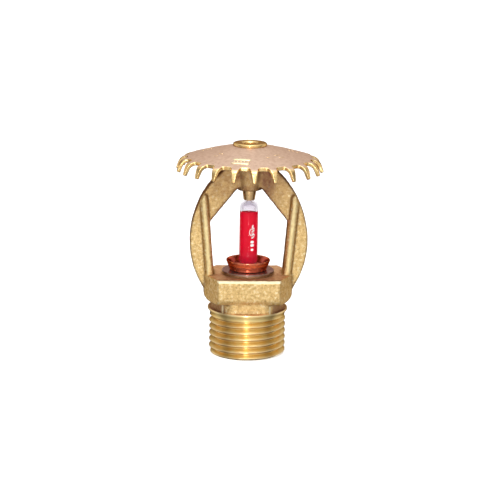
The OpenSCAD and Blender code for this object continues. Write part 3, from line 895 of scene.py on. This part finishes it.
def copper():
    """Drawn copper, with painted shade where it turns from view, a painted sheen at its foot, a painted
    reflection of the red bulb inside, and edges made brighter by wear and a painted highlight.
    """
    p = Paint("drawn_copper")
    p.set(Metallic=1.0)
    skin = p.ramp(p.noise(0.8, 4), [(0.3, (0.6, 0.14, 0.075)), (0.7, (0.86, 0.27, 0.15))])
    # Painted shade where the cup turns away from view
    skin = p.mix(p.scale(p.edge_view(), 0.55, 0.95, 0, 0.8), skin, (0.2, 0.02, 0.015))
    # Painted sheen: the foot of the cup made a brighter orange
    foot = p.times(p.scale(p.along("Z"), 24.7, 24.3, 0, 0.95), p.scale(p.along("Z"), 23.55, 23.8, 0, 1))
    skin = p.mix(foot, skin, (1.0, 0.3, 0.17))
    # Painted reflection of the red bulb inside the cup
    inside = p.times(p.scale(p.facing("Z"), 0.1, 0.4, 0, 0.75), p.scale(p.along("Z"), 26.3, 26.0, 0, 1))
    skin = p.mix(inside, skin, (0.45, 0.04, 0.05))
    # Sharp edges and the lip made brighter: part wear, part painted highlight
    p.colour(p.mix(p.scale(p.pointiness(), 0.53, 0.6, 0, 0.5), skin, (1.0, 0.62, 0.45)))
    p.set(Specular_Tint=(0.5, 0.25, 0.2, 1))
    p.roughness(p.scale(p.noise(1.5, 3), 0.3, 0.7, 0.16, 0.28))
    p.bump(p.noise(7.0, 2, 0.5, (0.1, 0.1, 1.0)), 0.02, 0.4)
    return p.material


def steel(name, low, high, rough):
    """Steel or nickel alloy with faint rolling marks."""
    p = Paint(name)
    p.set(Metallic=1.0)
    p.colour(p.ramp(p.noise(0.9, 3), [(0.3, low), (0.7, high)]))
    p.roughness(p.scale(p.noise(2.0, 3), 0.3, 0.7, rough - 0.06, rough + 0.08))
    p.bump(p.noise(5.0, 2, 0.5, (1.0, 0.2, 1.0)), 0.01, 0.5)
    return p.material


def film():
    """Glossy fluoropolymer film over the spring: it mirrors the cup."""
    p = Paint("seal_film")
    p.set(Metallic=0.9, Specular_Tint=(0.45, 0.3, 0.26, 1))
    p.colour(p.ramp(p.noise(0.9, 3), [(0.3, (0.38, 0.25, 0.23)), (0.7, (0.62, 0.46, 0.43))]))
    p.roughness(p.scale(p.noise(1.6, 3), 0.3, 0.7, 0.08, 0.16))
    p.bump(p.noise(2.5, 3), 0.02, 0.5)
    return p.material


def glass():
    """Clear glass with slight waves, a little smoky where the tip was sealed."""
    p = Paint("bulb_glass")
    p.set(Metallic=0.0, IOR=1.3, Transmission_Weight=1.0)
    clear = p.ramp(p.noise(0.4, 2), [(0.3, (0.96, 0.96, 0.97)), (0.7, (1.0, 1.0, 1.0))])
    p.colour(p.mix(p.scale(p.along("Z"), 38.8, 42.0, 0, 1), clear, (0.74, 0.7, 0.76)))
    p.roughness(p.scale(p.noise(0.7, 2), 0.3, 0.7, 0.0, 0.02))
    p.bump(p.noise(0.35, 2), 0.02, 0.3)
    return p.material


def red_liquid():
    """Dyed red liquid with a painted glow, stronger towards the bottom."""
    p = Paint("red_liquid")
    p.set(Metallic=0.0, IOR=1.36, Specular_IOR_Level=0.0, Emission_Strength=0.14)
    red = p.ramp(p.noise(0.25, 2), [(0.3, (0.72, 0.002, 0.022)), (0.7, (0.8, 0.005, 0.034))])
    p.colour(red)
    # Painted glow: the liquid gives off red light, more near the bottom
    glow = p.mix(p.scale(p.along("Z"), 29.5, 26.0, 0, 0.7), red, (1.0, 0.1, 0.17))
    p.join(glow, p.shader.inputs["Emission Color"])
    p.roughness(p.scale(p.noise(0.4, 2), 0.3, 0.7, 0.4, 0.5))
    return p.material


def ink():
    """White ceramic ink, slightly rubbed off."""
    p = Paint("white_ink")
    p.set(Metallic=0.0)
    p.colour(p.ramp(p.noise(4.0, 3), [(0.3, (0.9, 0.85, 0.85)), (0.6, (1.0, 0.98, 0.98))]))
    p.roughness(p.scale(p.noise(5.0, 2), 0.3, 0.7, 0.3, 0.5))
    return p.material


def floor_paint():
    """Smooth pale floor."""
    p = Paint("pale_floor")
    p.colour(p.ramp(p.noise(0.004, 2), [(0.3, (0.9, 0.9, 0.9)), (0.7, (0.93, 0.93, 0.93))]))
    p.set(Roughness=0.9, Emission_Color=(1, 1, 1, 1), Emission_Strength=0.45)
    return p.material


# ---------------------------------------------------------------- assembly
def put(obj, material, body, slot, *nodes):
    """Gives a piece its material and the body it rides on, and hides the CAD nodes it stands for. The slot is
    not used.
    """
    obj.data.materials.clear()
    obj.data.materials.append(material)
    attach(obj, body)
    if nodes:
        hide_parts(*nodes)
    return obj


def build_pieces():
    """Every piece of the sprinkler head."""
    brass = turned_brass("turned_brass", 0.22, 0.5, (0.8, 0.52, 0.2), (0.97, 0.72, 0.34))
    thread_brass = turned_brass("thread_brass", 0.34, 0.88, (1.0, 0.7, 0.26), (1.0, 0.83, 0.4))
    bronze = bronze_sheet()
    film_paint = film()
    put(frame_casting(), cast_brass(), "body_frame", "cast_brass", "frame")
    put(frame_thread(), thread_brass, "body_frame", "cast_brass", "frame")
    put(deflector(), bronze, "body_frame", "bronze_sheet", "deflector")
    put(deflector_marks("deflector_mark_front", FRONT_MARK, 0.58, 0.2), rubbed_bronze(),
        "body_frame", "bronze_sheet")
    put(deflector_marks("deflector_marks_round", ROUND_MARKS, 0.42, 0.13), bronze,
        "body_frame", "bronze_sheet")
    put(deflector_bushing(), brass, "body_frame", "turned_brass", "deflector_bushing")
    screw_brass = turned_brass("screw_brass", 0.28, 0.5, (0.52, 0.32, 0.14), (0.78, 0.54, 0.27))
    put(compression_screw(), screw_brass, "screw", "turned_brass", "compression_screw")
    put(bulb_glass(), glass(), "bulb", "bulb_glass", "bulb_glass")
    put(bulb_liquid(), red_liquid(), "bulb", "red_liquid", "bulb_liquid")
    put(bulb_marks(), ink(), "bulb", "bulb_glass")
    put(pip_cap(), copper(), "cap", "copper", "pip_cap")
    stainless = steel("stainless", (0.42, 0.42, 0.43), (0.6, 0.6, 0.6), 0.3)
    put(pip_insert(), stainless, "cap", "stainless", "pip_insert")
    put(stack_ring("seal_spring_disc", SPRING_LO, SPRING_HI, STACK_HOLE_R, 0.12),
        steel("nickel_alloy", (0.3, 0.19, 0.14), (0.42, 0.29, 0.22), 0.35),
        "cap", "nickel_alloy", "seal_spring")
    put(stack_ring("seal_film_top", FILM_LO, FILM_HI, STACK_HOLE_R, 0.03), film_paint,
        "cap", "seal_film", "seal_film_upper")
    put(stack_ring("seal_film_seat", SEAT_FILM_LO, SEAT_FILM_HI, STACK_HOLE_R, 0.03), film_paint,
        "cap", "seal_film", "seal_film_lower")


# ---------------------------------------------------------------- studio
def floor():
    """Pale floor under the object."""
    half = 1500
    obj = mesh_object("floor", [(-half, -half, 0), (half, -half, 0), (half, half, 0), (-half, half, 0)],
                      [(0, 1, 2, 3)])
    obj.data.materials.append(floor_paint())
    obj.visible_glossy = False
    obj.visible_shadow = False


def camera():
    """Long lens, slightly above the object and level with it but for a small roll."""
    azimuth, distance, height = math.radians(-2.7), 0.5, 0.1447
    pitch, pan, roll = math.radians(13.023), math.radians(0.053), math.radians(0.98)
    data = bpy.data.cameras.new("camera")
    data.lens, data.sensor_width = 132.745, 36
    data.clip_start, data.clip_end = 0.01, 10
    obj = bpy.data.objects.new("camera", data)
    bpy.context.scene.collection.objects.link(obj)
    turn = Matrix.Rotation(azimuth - pan, 4, "Z") @ Matrix.Rotation(math.pi / 2 - pitch, 4, "X")
    place = (distance * math.sin(azimuth), -distance * math.cos(azimuth), height)
    obj.matrix_world = Matrix.Translation(place) @ turn @ Matrix.Rotation(roll, 4, "Z")
    bpy.context.scene.camera = obj


def area_light(name, azimuth, elevation, distance, width, height, power, colour=(1, 1, 1)):
    """A soft box that faces the middle of the object. Azimuth 0 is on the camera's side."""
    middle = Vector((0, 0, (cad_box[0][2] + cad_box[1][2]) / 2))
    way = toward(azimuth, elevation)
    data = bpy.data.lights.new(name, "AREA")
    data.shape, data.size, data.size_y = "RECTANGLE", width, height
    data.energy, data.color = power, colour
    obj = bpy.data.objects.new(name, data)
    bpy.context.scene.collection.objects.link(obj)
    obj.location = middle + way * distance
    obj.rotation_euler = way.to_track_quat("Z", "Y").to_euler()
    obj.visible_camera = False


ROOM = 0.1
# Broad patches of room light: azimuth, elevation, inner and outer half angle in degrees, strength, tint
ROOM_LIGHTS = [
    (0, -6, 15, 94, 0.77, (1.0, 0.985, 0.96)),
    (0, 80, 20, 62, 0.8, (1.0, 1.0, 1.0)),
    (180, 45, 15, 58, 0.75, (1.0, 0.96, 0.94)),
    (118, -5, 10, 46, 0.8, (1.0, 0.93, 0.88)),
    (-118, -5, 10, 46, 0.8, (1.0, 0.93, 0.88)),
]


def toward(azimuth, elevation):
    """Unit vector at an azimuth, 0 on the camera's side, and an elevation, in degrees."""
    a, e = math.radians(azimuth), math.radians(elevation)
    return Vector((math.sin(a) * math.cos(e), -math.cos(a) * math.cos(e), math.sin(e)))


def room_light(tree, direction, colour, patch):
    """Adds one patch of light to the colour of the room."""
    azimuth, elevation, inner, outer, strength, tint = patch
    dot = tree.nodes.new("ShaderNodeVectorMath")
    dot.operation = "DOT_PRODUCT"
    dot.inputs[1].default_value = toward(azimuth, elevation)
    tree.links.new(direction, dot.inputs[0])
    fade = tree.nodes.new("ShaderNodeMapRange")
    fade.interpolation_type = "SMOOTHSTEP"
    fade.inputs["From Min"].default_value = math.cos(math.radians(outer))
    fade.inputs["From Max"].default_value = math.cos(math.radians(inner))
    fade.inputs["To Max"].default_value = strength
    tree.links.new(dot.outputs["Value"], fade.inputs["Value"])
    more = tree.nodes.new("ShaderNodeMix")
    more.data_type, more.blend_type, more.clamp_factor = "RGBA", "ADD", False
    more.inputs[7].default_value = (*tint, 1)
    tree.links.new(fade.outputs["Result"], more.inputs[0])
    if isinstance(colour, bpy.types.NodeSocket):
        tree.links.new(colour, more.inputs[6])
    else:
        more.inputs[6].default_value = colour
    return more.outputs[2]


def studio():
    """Soft light: a tall front box, a wide top box, and a room that is darker at the sides and behind."""
    area_light("front_box", -5.5, 24, 0.55, 0.06, 0.42, 0.7)
    area_light("top_box", -5, 76, 0.5, 0.3, 0.18, 0.6)
    area_light("low_box", -6, -14, 0.55, 0.022, 0.3, 0.22)
    world = bpy.data.worlds.new("studio")
    bpy.context.scene.world = world
    world.use_nodes = True
    tree = world.node_tree
    tree.nodes.clear()
    where = tree.nodes.new("ShaderNodeTexCoord")
    colour = (ROOM, ROOM, ROOM, 1)
    for patch in ROOM_LIGHTS:
        colour = room_light(tree, where.outputs["Generated"], colour, patch)
    room, pale = tree.nodes.new("ShaderNodeBackground"), tree.nodes.new("ShaderNodeBackground")
    tree.links.new(colour, room.inputs["Color"])
    pale.inputs["Color"].default_value = (1, 1, 1, 1)
    # The lens and the clear glass see a plain white backdrop
    path, either = tree.nodes.new("ShaderNodeLightPath"), tree.nodes.new("ShaderNodeMath")
    either.operation = "MAXIMUM"
    tree.links.new(path.outputs["Is Camera Ray"], either.inputs[0])
    tree.links.new(path.outputs["Is Transmission Ray"], either.inputs[1])
    mix, out = tree.nodes.new("ShaderNodeMixShader"), tree.nodes.new("ShaderNodeOutputWorld")
    tree.links.new(either.outputs[0], mix.inputs[0])
    tree.links.new(room.outputs[0], mix.inputs[1])
    tree.links.new(pale.outputs[0], mix.inputs[2])
    tree.links.new(mix.outputs[0], out.inputs["Surface"])
    bpy.context.scene.view_settings.view_transform = "Standard"


camera()
floor()
studio()
build_pieces()
